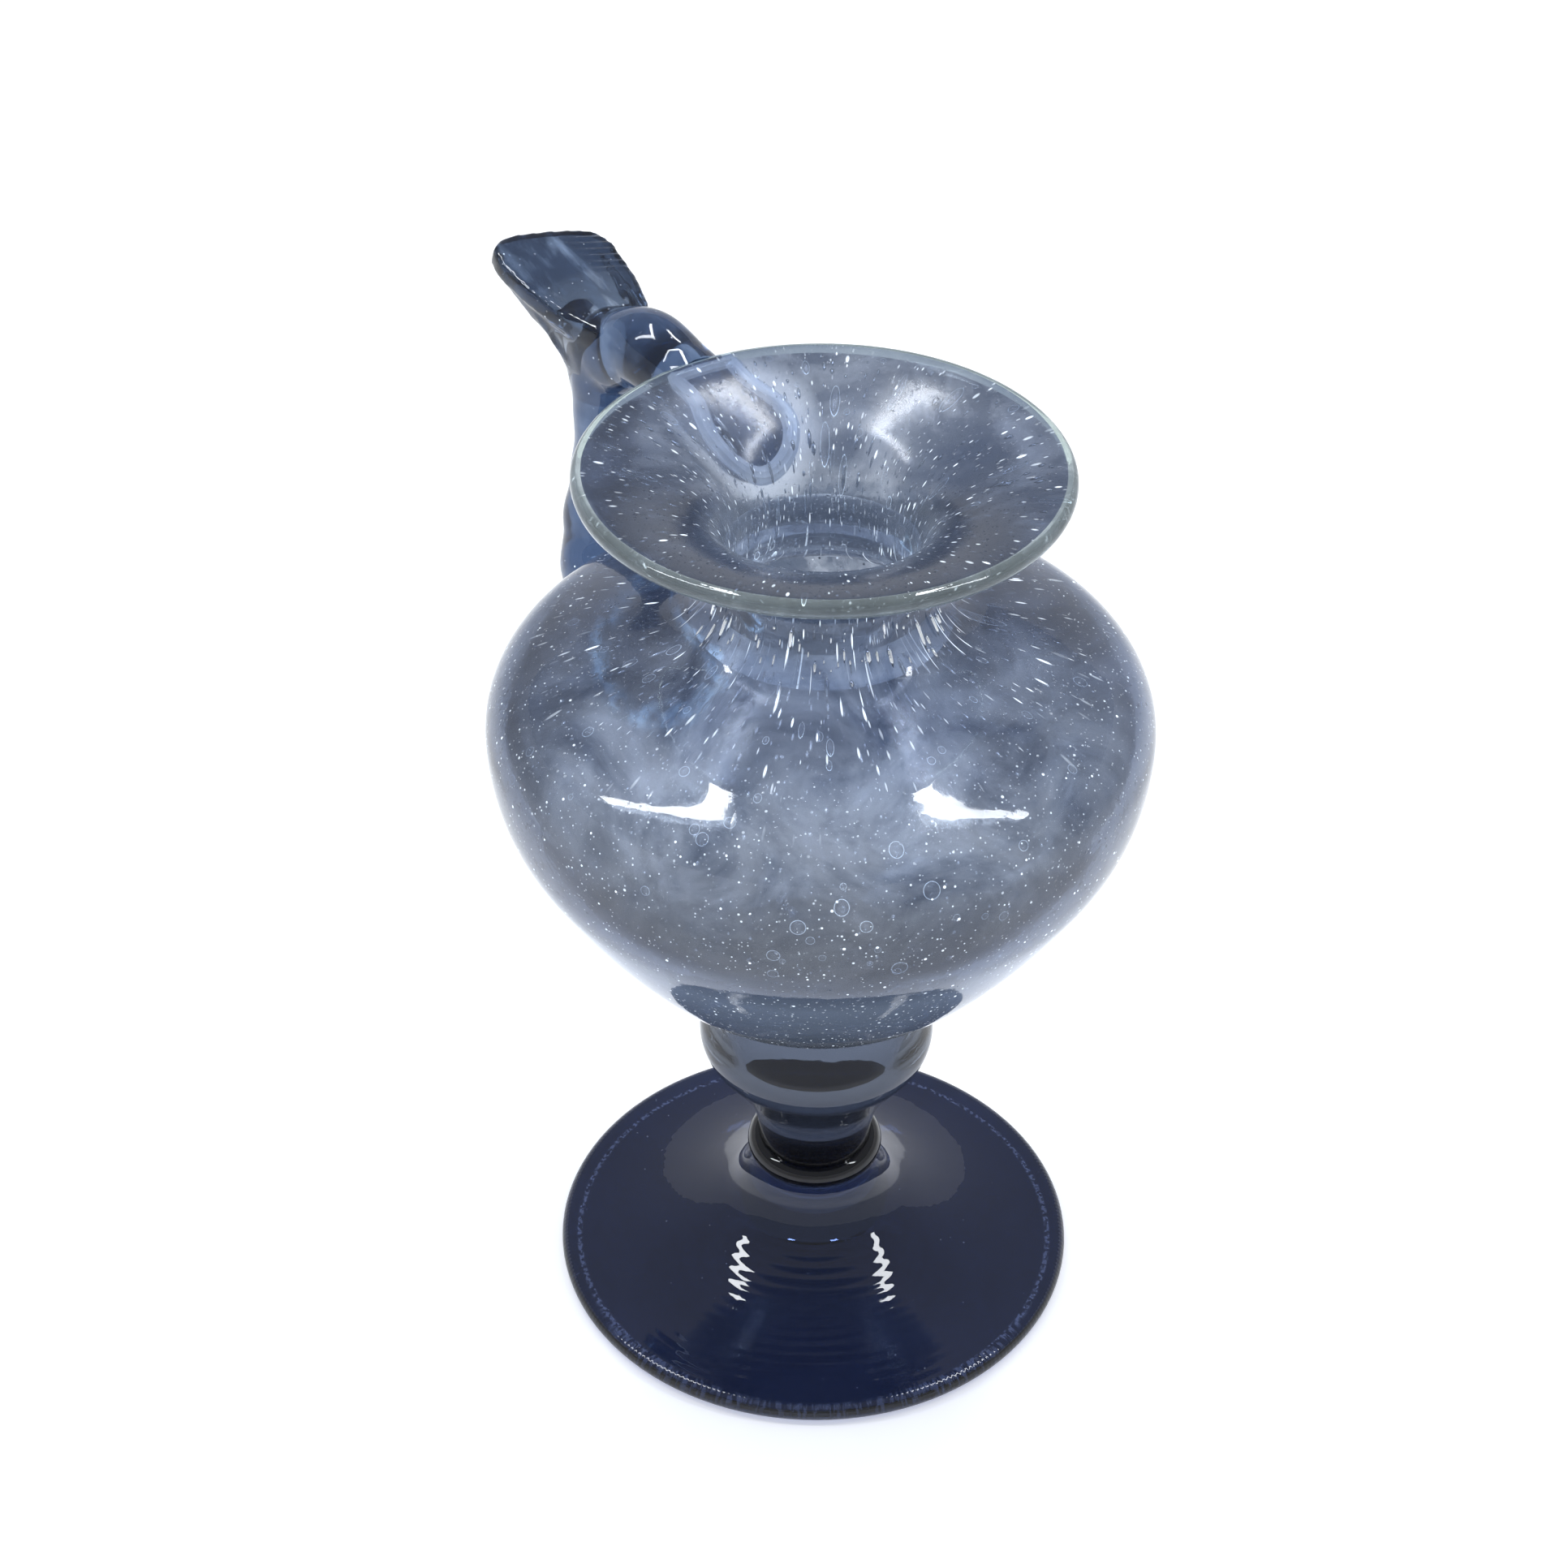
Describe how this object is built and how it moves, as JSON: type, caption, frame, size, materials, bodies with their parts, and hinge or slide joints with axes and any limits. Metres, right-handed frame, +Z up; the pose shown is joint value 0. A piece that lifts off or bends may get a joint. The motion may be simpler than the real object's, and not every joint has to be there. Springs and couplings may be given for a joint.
{
  "type": "glass oil lamp",
  "caption": "Stemmed glass oil lamp with a round foot, collar and knop, a bulbous reservoir with a flared cup, and a finger loop with a thumb rest.",
  "frame": {"origin": "centre of the resting ring under the foot, on the lamp's turning axis", "axes": "+Z up along the turning axis, -X towards the handle"},
  "size_m": [0.1171, 0.0936, 0.1477],
  "materials": {
    "clear_glass": "clear fire-polished glass",
    "bubble_glass": "smoky glass full of small bubbles",
    "blue_glass": "clear glass with a blue cast, fire-polished"
  },
  "bodies": {
    "root": {"foot": "clear_glass", "collar": "clear_glass", "stem_knop": "clear_glass", "reservoir": "bubble_glass", "handle": "blue_glass", "thumb_rest": "blue_glass"}
  },
  "joints": []
}
